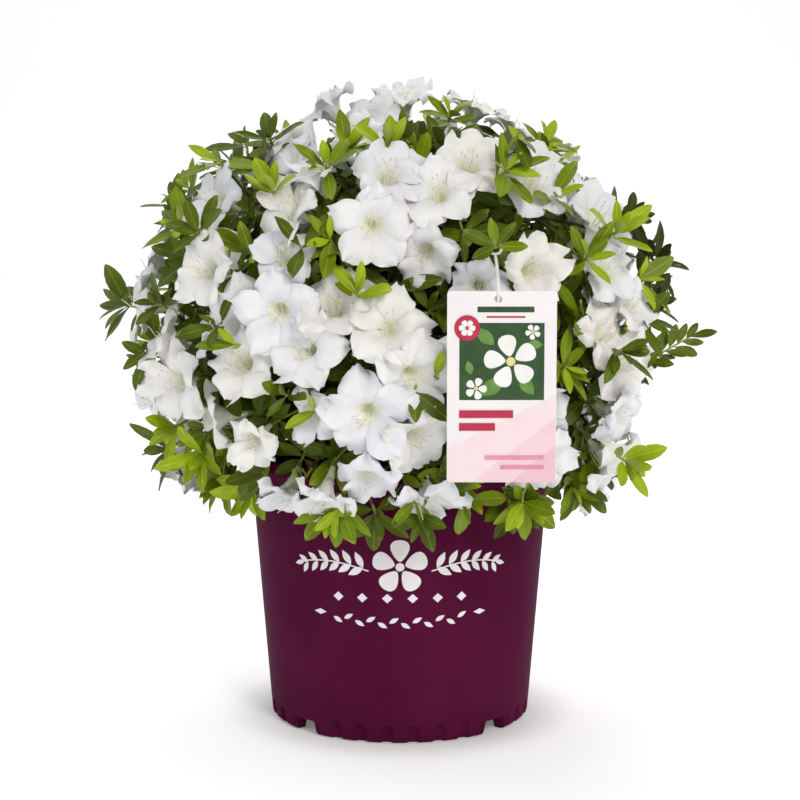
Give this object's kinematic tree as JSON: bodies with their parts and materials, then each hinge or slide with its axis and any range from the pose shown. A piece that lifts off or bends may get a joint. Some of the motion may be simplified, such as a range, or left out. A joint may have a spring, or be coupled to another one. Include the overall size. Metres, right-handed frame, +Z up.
{
  "type": "potted azalea shrub",
  "caption": "Rounded evergreen azalea in full white bloom, standing in its plum nursery pot, with a picture label hung from one shoot.",
  "frame": {"origin": "centre of the pot's flat underside, on the ground", "axes": "+Z up the plant, -Y towards the side that carries the hanging label, +X to that side's right"},
  "size_m": [0.5637, 0.5027, 0.5834],
  "materials": {
    "pot": "satin moulded plastic, plum",
    "potting_mix": "rough bark-based potting mix",
    "bark": "dull grey-brown bark",
    "foliage": "leaves with a soft gloss, white blooms",
    "label": "smooth printed plastic card"
  },
  "bodies": {
    "root": {"pot": "pot", "potting_mix": "potting_mix", "main_stem": "bark", "plant_label": "label", "limb_1": "bark", "limb_2": "bark", "limb_3": "bark", "limb_4": "bark", "limb_5": "bark", "bough_top": "bark", "bough_upper_1": "bark", "bough_upper_2": "bark", "bough_upper_3": "bark", "bough_upper_4": "bark", "bough_lower_1": "bark", "bough_lower_2": "bark", "bough_lower_3": "bark", "bough_lower_4": "bark", "bough_lower_5": "bark", "foliage_top": "foliage", "foliage_upper_1": "foliage", "foliage_upper_2": "foliage", "foliage_upper_3": "foliage", "foliage_upper_4": "foliage", "foliage_lower_1": "foliage", "foliage_lower_2": "foliage", "foliage_lower_3": "foliage", "foliage_lower_4": "foliage", "foliage_lower_5": "foliage"}
  },
  "joints": []
}
